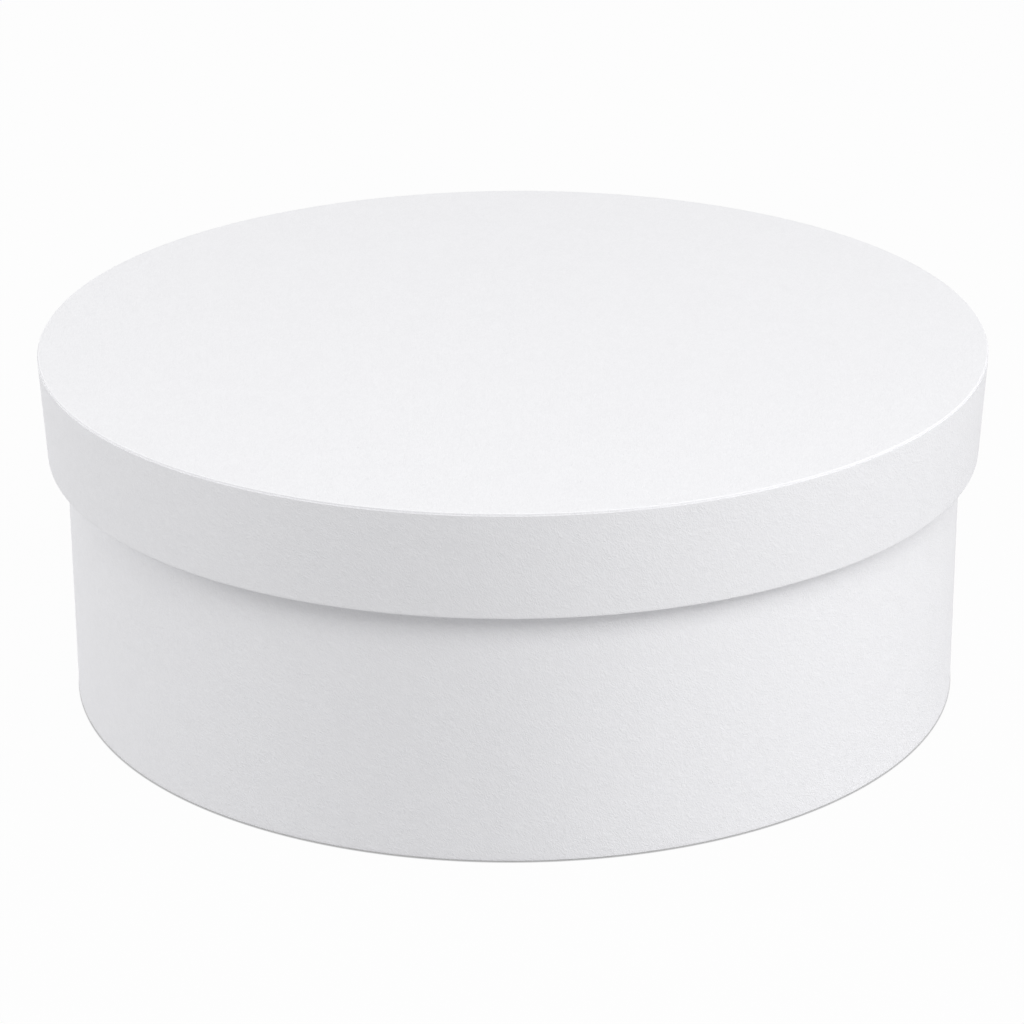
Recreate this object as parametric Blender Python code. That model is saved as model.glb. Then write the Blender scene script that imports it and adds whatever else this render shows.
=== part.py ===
"""Round lidded box: greyboard rings and discs wrapped in embossed white paper.

The body stands on z = 0 with its axis on Z. The lid rests on the body's mouth and lifts off along +Z.
Each glued paper and each board is a piece of its own, and LAYER_GAP lies between neighbouring pieces.
"""

import math

import bmesh
import bpy
from mathutils import Matrix, Vector

# Overall sizes, in metres
LID_RADIUS = 0.110
CLOSED_HEIGHT = 0.0835
RIM_HEIGHT = 0.0240
RIM_DRAW_IN = 0.0011
LID_PLAY = 0.0003

# Thickness of each board and paper
WALL_BOARD = 0.00175
RIM_BOARD = 0.00175
LID_BOARD = 0.00175
FLOOR_BOARD = 0.00175
WRAP_PAPER = 0.0002
LINING_PAPER = 0.0002
TAPE_PAPER = 0.0002

# Gaps between pieces, and the radii that the papers fold to
LAYER_GAP = 0.0003
SEAT_GAP = 0.0003
BUTT_GAP = 0.0003
SEAM_GAP = 0.001
FOLD_RADIUS = 0.0004
LINING_FOLD_RADIUS = 0.001

# How far each paper reaches
RIM_WRAP_SET_DOWN = 0.00075
LID_TAB_LENGTH = 0.010
FOOT_TAB_LENGTH = 0.012
FLOOR_TAB_LENGTH = 0.010
MOUTH_TURN_IN = 0.015
LINING_SET_DOWN = 0.004
UNDERSIDE_INSET = 0.003
SEAM_LAP = 0.010
TAPE_WIDTH = 0.024
TAPE_SET_BACK = 0.002

# Facets round the box, and where the joints lie, counted in facets from +X towards +Y
FACETS = 80
FACETS_PER_TAB = 2
FOLD_STEPS = 3
LAP_STEPS = 2
TAPE_STEPS = 4
PAPER_SEAM_FACET = 26
BOARD_JOINT_FACET = 66
TAB_END_SHARE = 0.78

SMOOTH_ANGLE = math.radians(40)
FACET_ANGLE = 2 * math.pi / FACETS

# The rim, from its paper skin inwards
LAP_THICKNESS = WRAP_PAPER + LAYER_GAP
RIM_TAB_OUTER = LID_RADIUS - WRAP_PAPER - LAYER_GAP
RIM_TAB_INNER = RIM_TAB_OUTER - WRAP_PAPER
RIM_BOARD_OUTER = RIM_TAB_INNER - LAYER_GAP
RIM_BOARD_INNER = RIM_BOARD_OUTER - RIM_BOARD
RIM_TAPE_OUTER = RIM_BOARD_INNER - LAYER_GAP
RIM_TURN_IN_OUTER = RIM_TAPE_OUTER - TAPE_PAPER - LAYER_GAP
RIM_TURN_IN_INNER = RIM_TURN_IN_OUTER - WRAP_PAPER

# The wall, from its paper skin inwards
BODY_RADIUS = RIM_TURN_IN_INNER - RIM_DRAW_IN - LID_PLAY - LAP_THICKNESS
WALL_BOARD_OUTER = BODY_RADIUS - WRAP_PAPER - LAYER_GAP
WALL_BOARD_INNER = WALL_BOARD_OUTER - WALL_BOARD
WALL_TURN_IN_OUTER = WALL_BOARD_INNER - LAYER_GAP
LINING_OUTER = WALL_TURN_IN_OUTER - max(WRAP_PAPER, TAPE_PAPER) - LAYER_GAP

# Heights in the lid, measured up from its lower edge
LID_PAPER_UNDERSIDE = RIM_HEIGHT - WRAP_PAPER
LID_BOARD_TOP = LID_PAPER_UNDERSIDE - LAYER_GAP
LID_BOARD_UNDERSIDE = LID_BOARD_TOP - LID_BOARD
LID_LINING_TOP = LID_BOARD_UNDERSIDE - LAYER_GAP
LID_LINING_UNDERSIDE = LID_LINING_TOP - LINING_PAPER
RIM_BOARD_BOTTOM = WRAP_PAPER + LAYER_GAP

# Heights in the body, measured up from the surface that it stands on
LID_BOTTOM = CLOSED_HEIGHT - RIM_HEIGHT
FOOT_PAPER_BOTTOM = LINING_PAPER + LAYER_GAP
FOOT_BOARD_BOTTOM = FOOT_PAPER_BOTTOM + WRAP_PAPER + LAYER_GAP
FLOOR_TOP = FOOT_BOARD_BOTTOM + FLOOR_BOARD
FLOOR_TAB_BOTTOM = FLOOR_TOP + LAYER_GAP
FLOOR_LINING_BOTTOM = FLOOR_TAB_BOTTOM + LINING_PAPER + LAYER_GAP
FLOOR_LINING_TOP = FLOOR_LINING_BOTTOM + LINING_PAPER
MOUTH_TOP = LID_BOTTOM + LID_LINING_UNDERSIDE - SEAT_GAP
WALL_BOARD_TOP = MOUTH_TOP - WRAP_PAPER - LAYER_GAP

# Surface colour and roughness of each material
FINISHES = {
    "embossed_paper": ((0.87, 0.87, 0.885, 1.0), 0.62),
    "lining_paper": ((0.84, 0.84, 0.845, 1.0), 0.75),
    "greyboard": ((0.36, 0.34, 0.31, 1.0), 0.9),
    "gummed_tape": ((0.55, 0.43, 0.29, 1.0), 0.6),
}


def clear_scene():
    """Remove every object that the file opened with."""
    for old in list(bpy.data.objects):
        bpy.data.objects.remove(old, do_unlink=True)


def make_materials():
    """Return one Principled material for each finish, by name."""
    made = {}
    for name, (colour, roughness) in FINISHES.items():
        material = bpy.data.materials.new(name)
        material.use_nodes = True
        shader = material.node_tree.nodes["Principled BSDF"]
        shader.inputs["Base Color"].default_value = colour
        shader.inputs["Roughness"].default_value = roughness
        shader.inputs["Metallic"].default_value = 0.0
        material.diffuse_color = colour
        made[name] = material
    return made


def add_frame(name, height):
    """Return an empty on the box's axis that carries one of its two halves."""
    frame = bpy.data.objects.new(name, None)
    frame.location.z = height
    bpy.context.scene.collection.objects.link(frame)
    return frame


def add_piece(name, shape, frame, material):
    """Turn a finished bmesh into a named object carried by a frame."""
    bmesh.ops.recalc_face_normals(shape, faces=shape.faces)
    mesh = bpy.data.meshes.new(name)
    shape.to_mesh(mesh)
    shape.free()
    mesh.shade_smooth()
    mesh.set_sharp_from_angle(angle=SMOOTH_ANGLE)
    mesh.materials.append(material)
    piece = bpy.data.objects.new(name, mesh)
    piece.parent = frame
    bpy.context.scene.collection.objects.link(piece)
    return piece


def drawn_in(points):
    """Lean lid points inwards towards the rim's lower edge."""
    return [(r - RIM_DRAW_IN * (1 - z / RIM_HEIGHT), z) for r, z in points]


def arc(centre, radius, start_turn_share, end_turn_share):
    """Return the points of an arc in a section, from one share of a full turn to another."""
    points = []
    for step in range(FOLD_STEPS + 1):
        share = start_turn_share + (end_turn_share - start_turn_share) * step / FOLD_STEPS
        angle = 2 * math.pi * share
        points.append((centre[0] + radius * math.cos(angle), centre[1] + radius * math.sin(angle)))
    return points


def box_section(inner, outer, bottom, top):
    """Return the four corners of a plain ring's section."""
    return [(outer, top), (outer, bottom), (inner, bottom), (inner, top)]


def section_face(shape, points, turn):
    """Draw a section as one face, standing at an angle about Z."""
    corners = [shape.verts.new(at_turn(r, z, turn)) for r, z in points]
    return [shape.faces.new(corners)]


def section_strip(shape, board_side, outside, turn):
    """Draw a folded paper's section as a row of quads, standing at an angle about Z."""
    near = [shape.verts.new(at_turn(r, z, turn)) for r, z in board_side]
    far = [shape.verts.new(at_turn(r, z, turn)) for r, z in outside]
    rows = zip(near, near[1:], far[1:], far)
    return [shape.faces.new(corners) for corners in rows]


def at_turn(radius, height, turn):
    """Return the point at a radius and height, turned about Z."""
    return Vector((radius * math.cos(turn), radius * math.sin(turn), height))


def spin(shape, faces, angle, steps):
    """Sweep section faces round Z and return the faces of the far end."""
    swept = bmesh.ops.spin(
        shape,
        geom=faces,
        cent=Vector(),
        axis=Vector((0, 0, 1)),
        angle=angle,
        steps=steps,
        use_merge=False,
    )
    return [part for part in swept["geom_last"] if isinstance(part, bmesh.types.BMFace)]


def extrude(shape, faces):
    """Extrude faces of a closed shape in place and return the new corners, edges and faces."""
    grown = bmesh.ops.extrude_face_region(shape, geom=faces)["geom"]
    bmesh.ops.delete(shape, geom=faces, context="FACES")
    return grown


def slide_along_facet(faces, distance, turn):
    """Move an end of an open ring along the facet that it closes."""
    corners = {corner for face in faces for corner in face.verts}
    along = Vector((-math.sin(turn), math.cos(turn), 0))
    for corner in corners:
        corner.co += along * distance


def open_ring(shape, draw, joint_facet, gap):
    """Sweep a section once round Z and leave a straight joint; return both ends' faces."""
    turn = joint_facet * FACET_ANGLE
    first = draw(shape, turn)
    last = spin(shape, first, 2 * math.pi, FACETS)
    slide_along_facet(first, gap / 2, turn + FACET_ANGLE / 2)
    slide_along_facet(last, -gap / 2, turn - FACET_ANGLE / 2)
    return first, last


def disc(radius, bottom, top):
    """Return a flat disc with as many sides as the rings."""
    shape = bmesh.new()
    rim = bmesh.ops.create_circle(shape, cap_ends=True, segments=FACETS, radius=radius)["verts"]
    bmesh.ops.rotate(shape, verts=rim, cent=Vector(), matrix=Matrix.Rotation(disc_phase(rim), 3, "Z"))
    bmesh.ops.translate(shape, verts=rim, vec=Vector((0, 0, bottom)))
    raised = bmesh.ops.extrude_face_region(shape, geom=list(shape.faces), use_keep_orig=True)["geom"]
    lifted = [part for part in raised if isinstance(part, bmesh.types.BMVert)]
    bmesh.ops.translate(shape, verts=lifted, vec=Vector((0, 0, top - bottom)))
    return shape


def disc_phase(rim):
    """Return the turn that brings a disc's first corner onto the rings' facets."""
    return -math.atan2(rim[0].co.y, rim[0].co.x) % FACET_ANGLE


def facet_of(face):
    """Return which facet round the box a face belongs to."""
    centre = face.calc_center_median()
    return int((math.atan2(centre.y, centre.x) % (2 * math.pi)) / FACET_ANGLE)


def root_faces(shape, radius, height):
    """Return a ring's edge faces whose centres lie at a radius and height."""
    found = []
    for face in shape.faces:
        centre = face.calc_center_median()
        reach = math.hypot(centre.x, centre.y) / math.cos(FACET_ANGLE / 2)
        if abs(reach - radius) < WRAP_PAPER / 2 and abs(centre.z - height) < WRAP_PAPER / 4:
            found.append(face)
    return found


def add_tabs(shape, roots, push):
    """Extrude a ring's edge into notched tabs; push moves one corner of a tab to its end."""
    tabs = {}
    for face in roots:
        tabs.setdefault(facet_of(face) // FACETS_PER_TAB, []).append(face)
    for number, faces in tabs.items():
        middle = (number + 1 / 2) * FACETS_PER_TAB * FACET_ANGLE
        for part in extrude(shape, faces):
            if isinstance(part, bmesh.types.BMVert):
                part.co = push(part.co, middle)


def pushed_in(length):
    """Return the move that lays a tab's end flat, towards the axis."""

    def push(point, middle):
        radius = math.hypot(point.x, point.y) - length
        turn = math.atan2(point.y, point.x)
        away = (turn - middle + math.pi) % (2 * math.pi) - math.pi
        return at_turn(radius, point.z, middle + away * TAB_END_SHARE)

    return push


def pushed_down(length):
    """Return the move that draws a tab's end down along the rim's facets."""

    def push(point, middle):
        radius = math.hypot(point.x, point.y)
        centre = at_turn(radius, point.z, middle)
        narrowed = centre + (point - centre) * TAB_END_SHARE
        lean = 1 - RIM_DRAW_IN * length / RIM_HEIGHT / radius
        return Vector((narrowed.x * lean, narrowed.y * lean, point.z - length))

    return push


def add_lap(shape, end_faces, lift):
    """Carry the wall part of a strip's end over its beginning, off its surface by lift."""
    wall = max(end_faces, key=lambda face: face.calc_area())
    radius = math.hypot(wall.verts[0].co.x, wall.verts[0].co.y)
    moves = [(SEAM_GAP, lift)] + [(SEAM_LAP / LAP_STEPS, 0)] * LAP_STEPS
    for along, outwards in moves:
        grown = extrude(shape, [wall])
        wall = next(part for part in grown if isinstance(part, bmesh.types.BMFace))
        turned = Matrix.Rotation(along / radius, 3, "Z")
        for corner in wall.verts:
            flat = Vector((corner.co.x, corner.co.y, 0))
            corner.co = turned @ (corner.co + flat.normalized() * outwards)


def board_ring(inner, outer, bottom, top, lean):
    """Return a strip of board rolled to a ring, its ends butted."""
    shape = bmesh.new()
    points = lean(box_section(inner, outer, bottom, top))
    open_ring(
        shape,
        lambda ring, turn: section_face(ring, points, turn),
        BOARD_JOINT_FACET,
        BUTT_GAP,
    )
    return shape


def joint_tape(outer, bottom, top, lean):
    """Return the strip of tape that holds a board ring's joint."""
    shape = bmesh.new()
    angle = TAPE_WIDTH / outer
    start = BOARD_JOINT_FACET * FACET_ANGLE - angle / 2
    points = lean(box_section(outer - TAPE_PAPER, outer, bottom, top))
    spin(shape, section_face(shape, points, start), angle, TAPE_STEPS)
    return shape


def upright(points):
    """Leave body points as they are: the wall is straight."""
    return points


def wall_wrap_path(off_board):
    """Return the wall wrap's section from under the foot to the turn-in, off the board by a distance."""
    radius = FOLD_RADIUS + off_board - LAYER_GAP
    fold_out = WALL_BOARD_OUTER + LAYER_GAP - FOLD_RADIUS
    fold_in = WALL_BOARD_INNER - LAYER_GAP + FOLD_RADIUS
    fold_low = FOOT_BOARD_BOTTOM - LAYER_GAP + FOLD_RADIUS
    fold_high = WALL_BOARD_TOP + LAYER_GAP - FOLD_RADIUS
    path = arc((fold_out, fold_low), radius, -1 / 4, 0)
    path += arc((fold_out, fold_high), radius, 0, 1 / 4)
    path += arc((fold_in, fold_high), radius, 1 / 4, 1 / 2)
    path.append((WALL_BOARD_INNER - off_board, MOUTH_TOP - MOUTH_TURN_IN))
    return path


def base_wall_wrap():
    """Return the body's embossed paper strip with its lap, its turn-in and its foot tabs."""
    shape = bmesh.new()
    near = wall_wrap_path(LAYER_GAP)
    far = wall_wrap_path(LAYER_GAP + WRAP_PAPER)
    ends = open_ring(
        shape,
        lambda ring, turn: section_strip(ring, near, far, turn),
        PAPER_SEAM_FACET,
        SEAM_GAP,
    )
    add_lap(shape, ends[1], LAP_THICKNESS)
    roots = root_faces(shape, near[0][0], (near[0][1] + far[0][1]) / 2)
    add_tabs(shape, roots, pushed_in(FOOT_TAB_LENGTH))
    return shape


def lining_path(off_wall):
    """Return the wall lining's section from its floor fold to its upper edge."""
    radius = LINING_FOLD_RADIUS - off_wall
    fold_in = LINING_OUTER - LINING_FOLD_RADIUS
    fold_up = FLOOR_TAB_BOTTOM + LINING_FOLD_RADIUS
    path = arc((fold_in, fold_up), radius, -1 / 4, 0)
    path.append((LINING_OUTER - off_wall, MOUTH_TOP - LINING_SET_DOWN))
    return path


def base_wall_lining():
    """Return the paper strip inside the wall, lapped, with tabs turned onto the floor."""
    shape = bmesh.new()
    near = lining_path(0)
    far = lining_path(LINING_PAPER)
    ends = open_ring(
        shape,
        lambda ring, turn: section_strip(ring, near, far, turn),
        PAPER_SEAM_FACET,
        SEAM_GAP,
    )
    add_lap(shape, ends[1], -LINING_PAPER - LAYER_GAP)
    roots = root_faces(shape, near[0][0], (near[0][1] + far[0][1]) / 2)
    add_tabs(shape, roots, pushed_in(FLOOR_TAB_LENGTH))
    return shape


def rim_wrap_path(thickness):
    """Return the rim wrap's section from its cut upper edge, under the rim and up inside."""
    radius = FOLD_RADIUS + thickness
    fold_out = LID_RADIUS - WRAP_PAPER - FOLD_RADIUS
    fold_in = RIM_TURN_IN_OUTER + FOLD_RADIUS
    fold_low = WRAP_PAPER + FOLD_RADIUS
    path = [(LID_RADIUS - WRAP_PAPER + thickness, RIM_HEIGHT - RIM_WRAP_SET_DOWN)]
    path += arc((fold_out, fold_low), radius, 0, -1 / 4)
    path += arc((fold_in, fold_low), radius, -1 / 4, -1 / 2)
    path.append((RIM_TURN_IN_OUTER - thickness, LID_LINING_TOP))
    return drawn_in(path)


def lid_rim_wrap():
    """Return the rim's embossed paper strip with its lap and its turn-in."""
    shape = bmesh.new()
    near = rim_wrap_path(0)
    far = rim_wrap_path(WRAP_PAPER)
    ends = open_ring(
        shape,
        lambda ring, turn: section_strip(ring, near, far, turn),
        PAPER_SEAM_FACET,
        SEAM_GAP,
    )
    outer = [face for face in ends[1] if face_reach(face) > RIM_BOARD_OUTER]
    add_lap(shape, outer, LAP_THICKNESS)
    return shape


def face_reach(face):
    """Return how far a face's centre lies from the axis."""
    centre = face.calc_center_median()
    return math.hypot(centre.x, centre.y)


def lid_top_paper():
    """Return the lid's embossed paper disc with its edge turned down in notched tabs."""
    shape = bmesh.new()
    fold = (RIM_TAB_INNER - FOLD_RADIUS, LID_PAPER_UNDERSIDE - FOLD_RADIUS)
    under = [(0, LID_PAPER_UNDERSIDE)] + arc(fold, FOLD_RADIUS, 1 / 4, 0)
    over = [(0, RIM_HEIGHT)] + arc(fold, FOLD_RADIUS + WRAP_PAPER, 1 / 4, 0)
    outline = [shape.verts.new(at_turn(r, z, 0)) for r, z in under + over[::-1]]
    edges = [shape.edges.new(pair) for pair in zip(outline, outline[1:])]
    bmesh.ops.spin(
        shape,
        geom=edges,
        cent=Vector(),
        axis=Vector((0, 0, 1)),
        angle=2 * math.pi,
        steps=FACETS,
        use_merge=True,
    )
    bmesh.ops.remove_doubles(shape, verts=shape.verts, dist=LAYER_GAP / FACETS)
    centres = [corner for corner in shape.verts if len(corner.link_faces) == FACETS]
    bmesh.ops.dissolve_verts(shape, verts=centres)
    middle_radius = (RIM_TAB_INNER + RIM_TAB_OUTER) / 2
    roots = root_faces(shape, middle_radius, fold[1])
    add_tabs(shape, roots, pushed_down(LID_TAB_LENGTH))
    return shape


def build_base(materials):
    """Build the body: boards, tape, wrap, linings and underside paper."""
    frame = add_frame("base_frame", 0)
    wall = board_ring(WALL_BOARD_INNER, WALL_BOARD_OUTER, FOOT_BOARD_BOTTOM, WALL_BOARD_TOP, upright)
    add_piece("base_wall_board", wall, frame, materials["greyboard"])
    floor = disc(WALL_BOARD_INNER - LAYER_GAP, FOOT_BOARD_BOTTOM, FLOOR_TOP)
    add_piece("base_floor_board", floor, frame, materials["greyboard"])
    tape_top = MOUTH_TOP - MOUTH_TURN_IN - TAPE_SET_BACK
    tape = joint_tape(WALL_TURN_IN_OUTER, FLOOR_TAB_BOTTOM, tape_top, upright)
    add_piece("base_wall_joint_tape", tape, frame, materials["gummed_tape"])
    add_piece("base_wall_wrap", base_wall_wrap(), frame, materials["embossed_paper"])
    add_piece("base_wall_lining", base_wall_lining(), frame, materials["lining_paper"])
    floor_lining = disc(LINING_OUTER - LINING_FOLD_RADIUS, FLOOR_LINING_BOTTOM, FLOOR_LINING_TOP)
    add_piece("base_floor_lining", floor_lining, frame, materials["lining_paper"])
    underside = disc(BODY_RADIUS - UNDERSIDE_INSET, 0, LINING_PAPER)
    add_piece("base_underside_paper", underside, frame, materials["lining_paper"])


def build_lid(materials):
    """Build the lid: boards, tape, top paper, rim wrap and lining."""
    frame = add_frame("lid_frame", LID_BOTTOM)
    rim = board_ring(RIM_BOARD_INNER, RIM_BOARD_OUTER, RIM_BOARD_BOTTOM, LID_BOARD_TOP, drawn_in)
    add_piece("lid_rim_board", rim, frame, materials["greyboard"])
    board_reach = drawn_in([(RIM_BOARD_INNER, LID_BOARD_UNDERSIDE)])[0][0] - LAYER_GAP
    top = disc(board_reach, LID_BOARD_UNDERSIDE, LID_BOARD_TOP)
    add_piece("lid_top_board", top, frame, materials["greyboard"])
    tape_bottom = RIM_BOARD_BOTTOM + TAPE_SET_BACK
    tape = joint_tape(RIM_TAPE_OUTER, tape_bottom, LID_LINING_TOP, drawn_in)
    add_piece("lid_rim_joint_tape", tape, frame, materials["gummed_tape"])
    add_piece("lid_top_paper", lid_top_paper(), frame, materials["embossed_paper"])
    add_piece("lid_rim_wrap", lid_rim_wrap(), frame, materials["embossed_paper"])
    lining_reach = drawn_in([(RIM_TURN_IN_INNER, LID_LINING_UNDERSIDE)])[0][0] - LAYER_GAP
    lining = disc(lining_reach, LID_LINING_UNDERSIDE, LID_LINING_TOP)
    add_piece("lid_top_lining", lining, frame, materials["lining_paper"])


def main():
    """Build the whole box, closed."""
    clear_scene()
    materials = make_materials()
    build_base(materials)
    build_lid(materials)


main()
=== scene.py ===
"""Round lidded box: its papers, boards, light and camera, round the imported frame.

Lengths are in metres. A section is drawn in two numbers, the reach from the box's axis and the height above
the surface that the box stands on, and swept round Z. Every sheet of paper carries a map of itself laid flat.
"""

import logging
import math
from collections.abc import Callable
from dataclasses import dataclass
from enum import Enum
from functools import cache
from typing import Any

import bmesh
import bpy
from mathutils import Matrix, Vector


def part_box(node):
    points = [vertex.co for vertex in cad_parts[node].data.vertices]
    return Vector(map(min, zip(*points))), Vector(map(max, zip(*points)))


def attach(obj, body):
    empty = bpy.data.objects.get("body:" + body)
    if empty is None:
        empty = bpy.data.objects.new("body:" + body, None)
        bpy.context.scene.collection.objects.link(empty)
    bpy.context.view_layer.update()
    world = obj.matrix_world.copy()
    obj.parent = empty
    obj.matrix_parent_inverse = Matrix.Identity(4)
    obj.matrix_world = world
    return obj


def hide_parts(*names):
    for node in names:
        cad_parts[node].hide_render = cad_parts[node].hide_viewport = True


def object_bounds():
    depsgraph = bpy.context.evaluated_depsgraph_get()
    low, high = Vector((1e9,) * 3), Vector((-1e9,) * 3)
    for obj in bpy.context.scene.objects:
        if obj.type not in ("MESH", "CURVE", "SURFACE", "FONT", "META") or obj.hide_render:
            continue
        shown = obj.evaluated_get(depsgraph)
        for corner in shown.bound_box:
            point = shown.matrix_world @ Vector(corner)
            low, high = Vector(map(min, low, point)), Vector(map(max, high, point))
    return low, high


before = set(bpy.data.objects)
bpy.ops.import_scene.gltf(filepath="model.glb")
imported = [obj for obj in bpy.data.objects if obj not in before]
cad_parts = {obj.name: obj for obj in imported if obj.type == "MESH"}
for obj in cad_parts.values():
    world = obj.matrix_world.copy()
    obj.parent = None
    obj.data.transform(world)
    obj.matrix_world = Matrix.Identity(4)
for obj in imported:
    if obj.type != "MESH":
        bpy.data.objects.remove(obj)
cad_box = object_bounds()
log = logging.getLogger("round_box")

Vert = bmesh.types.BMVert
Face = bmesh.types.BMFace

# A place on a walk along a section, the direction out of the sheet there, and the wear
Step = tuple[Vector, Vector, float]

FULL_TURN = 2 * math.pi
QUARTER_TURN = math.pi / 2
UP = Vector((0, 0, 1))
WHITE = (1.0, 1.0, 1.0, 1.0)
NOISE_MEAN = 0.5
MIX_SHARE = 0
MIX_FIRST = 6
MIX_SECOND = 7
MIX_RESULT = 2
SPECULAR_LEVEL = 0.35
SHEET_MAP = "paper"


class Half(Enum):
    """The two halves of the box, by the bodies that they ride on."""

    BASE = "base"
    LID = "lid"


class Slot(Enum):
    """The record's material slots."""

    EMBOSSED_PAPER = "embossed_paper"
    LINING_PAPER = "lining_paper"
    GREYBOARD = "greyboard"
    GUMMED_TAPE = "gummed_tape"


class Side(Enum):
    """The side of its beginning on which a strip's end lies at the seam."""

    OUTSIDE = 1
    INSIDE = -1


class Way(Enum):
    """The direction in which tabs are turned, in reach and in height."""

    INWARDS = (-1, 0)
    DOWN = (0, -1)


class Wire:
    """The output of a shader node. Python's arithmetic on wires adds the nodes that do it."""

    def __init__(self, graph: "Graph", socket: bpy.types.NodeSocket | None) -> None:
        """Keep the graph and the socket that the wire starts from."""
        self.graph = graph
        self.socket = socket

    def is_value(self) -> bool:
        """Return whether the wire carries a number, and not a vector or a colour."""
        return self.socket.type == "VALUE"

    def joined(self, operation: str, first: "Wire | float", second: "Wire | float") -> "Wire":
        """Join two operands by a Math node, or by a Vector Math node if one is a vector.

        Args:
            operation: The node's operation.
            first: The left operand.
            second: The right operand.

        Returns:
            The result's wire.
        """
        wires = [operand for operand in (first, second) if isinstance(operand, Wire)]
        kind = "ShaderNodeMath" if all(wire.is_value() for wire in wires) else "ShaderNodeVectorMath"
        return self.graph.node(kind, {"operation": operation}, {0: first, 1: second})

    def __add__(self, other: "Wire | float") -> "Wire":
        """Return the sum."""
        return self.joined("ADD", self, other)

    def __radd__(self, other: float) -> "Wire":
        """Return the sum, reflected."""
        return self.joined("ADD", other, self)

    def __sub__(self, other: "Wire | float") -> "Wire":
        """Return the difference."""
        return self.joined("SUBTRACT", self, other)

    def __rsub__(self, other: float) -> "Wire":
        """Return the difference, reflected."""
        return self.joined("SUBTRACT", other, self)

    def __mul__(self, other: "Wire | float") -> "Wire":
        """Return the product."""
        return self.joined("MULTIPLY", self, other)

    def __rmul__(self, other: float) -> "Wire":
        """Return the product, reflected."""
        return self.joined("MULTIPLY", other, self)

    def at_least(self, floor: "Wire | float") -> "Wire":
        """Return the larger of the wire's value and another."""
        return self.joined("MAXIMUM", self, floor)

    def at_most(self, ceiling: float) -> "Wire":
        """Return the smaller of the wire's value and a number."""
        return self.joined("MINIMUM", self, ceiling)


class Graph:
    """The node tree of a material or of the world, filled step by step."""

    def __init__(self, holder: bpy.types.Material | bpy.types.World) -> None:
        """Empty the holder's node tree.

        Args:
            holder: The material or world to fill.
        """
        holder.use_nodes = True
        self.tree = holder.node_tree
        self.tree.nodes.clear()

    def node(
        self,
        kind: str,
        settings: dict[str, Any] | None = None,
        inputs: dict[int | str, Any] | None = None,
        output: int | str = 0,
    ) -> Wire:
        """Add one node.

        Args:
            kind: The node's type.
            settings: Its properties, set first.
            inputs: Numbers, tuples or wires for its sockets, by name or place.
            output: Which of its outputs is wanted.

        Returns:
            The wire of that output, which is empty for a node without outputs.
        """
        made = self.tree.nodes.new(kind)
        for name, value in (settings or {}).items():
            setattr(made, name, value)
        for name, value in (inputs or {}).items():
            self.feed(made.inputs[name], value)
        return Wire(self, made.outputs[output] if made.outputs else None)

    def feed(self, socket: bpy.types.NodeSocket, value: Any) -> None:
        """Link a wire to a socket, or set the socket to a number or tuple.

        Args:
            socket: The input to feed.
            value: A wire, a number or a tuple.
        """
        if isinstance(value, Wire):
            self.tree.links.new(value.socket, socket)
        elif socket.type == "VECTOR" and isinstance(value, (int, float)):
            socket.default_value = (value, value, value)
        else:
            socket.default_value = value

    def mix(self, share: Wire, first: Any, second: Any) -> Wire:
        """Return a colour between two, by a share that is held between 0 and 1."""
        settings = {"data_type": "RGBA", "clamp_factor": True}
        inputs = {MIX_SHARE: share, MIX_FIRST: first, MIX_SECOND: second}
        return self.node("ShaderNodeMix", settings, inputs, MIX_RESULT)

    def noise(self, place: Wire, size: float, detail: float = 1.0, colour: bool = False) -> Wire:
        """Return noise whose spots are about one size across.

        Args:
            place: Where on the surface, in metres.
            size: The size of a spot.
            detail: How many finer layers lie over it.
            colour: Whether three numbers are wanted instead of one.

        Returns:
            The noise, about 0.5 in the mean.
        """
        inputs = {"Vector": place, "Scale": 1 / size, "Detail": detail}
        output = "Color" if colour else "Fac"
        return self.node("ShaderNodeTexNoise", {"noise_dimensions": "3D"}, inputs, output)

    def grain(self, place: Wire, length: float, width: float, turn: float, detail: float = 1.0) -> Wire:
        """Return noise drawn out along one direction of the surface's first two axes.

        Args:
            place: Where on the surface, in metres.
            length: The length of a mark.
            width: The width of a mark.
            turn: The turn of the marks from the first axis.
            detail: How many finer layers lie over it.

        Returns:
            The noise, about 0.5 in the mean.
        """
        turned = self.node("ShaderNodeMapping", {}, {"Vector": place, "Rotation": (0, 0, -turn)})
        return self.noise(self.scaled(turned, (1 / length, 1 / width, 1 / width)), 1.0, detail)

    def scaled(self, place: Wire, scale: tuple[float, float, float]) -> Wire:
        """Return a place with each of its three numbers scaled."""
        return self.node("ShaderNodeMapping", {}, {"Vector": place, "Scale": scale})

    def relief(self, height: Wire, depth: float) -> Wire:
        """Return the normal of a surface whose height runs from 0 to 1 over a depth."""
        return self.node("ShaderNodeBump", {}, {"Strength": 1.0, "Distance": depth, "Height": height})

    def finish(self, colour: Wire, roughness: Wire, normal: Wire) -> None:
        """End a material in a Principled shader.

        Args:
            colour: The surface's colour.
            roughness: Its roughness.
            normal: Its normal.
        """
        inputs = {"Base Color": colour, "Roughness": roughness, "Normal": normal}
        shader = self.node("ShaderNodeBsdfPrincipled", {}, inputs | {"Specular IOR Level": SPECULAR_LEVEL})
        self.node("ShaderNodeOutputMaterial", {}, {"Surface": shader})


def opaque(red: float, green: float, blue: float) -> tuple[float, float, float, float]:
    """Return a colour with full alpha."""
    return (red, green, blue, 1.0)


@dataclass(frozen=True)
class Finish:
    """What one of the record's material slots looks like."""

    slot: Slot

    @cache
    def material(self) -> bpy.types.Material:
        """Make the finish's material, once for all pieces that have it.

        Returns:
            The material.
        """
        made = bpy.data.materials.new(self.slot.value + "_finish")
        self.fill(Graph(made))
        return made

    def fill(self, graph: Graph) -> None:
        """Lay out the material's nodes, which each finish does in its own way."""
        raise NotImplementedError


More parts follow.
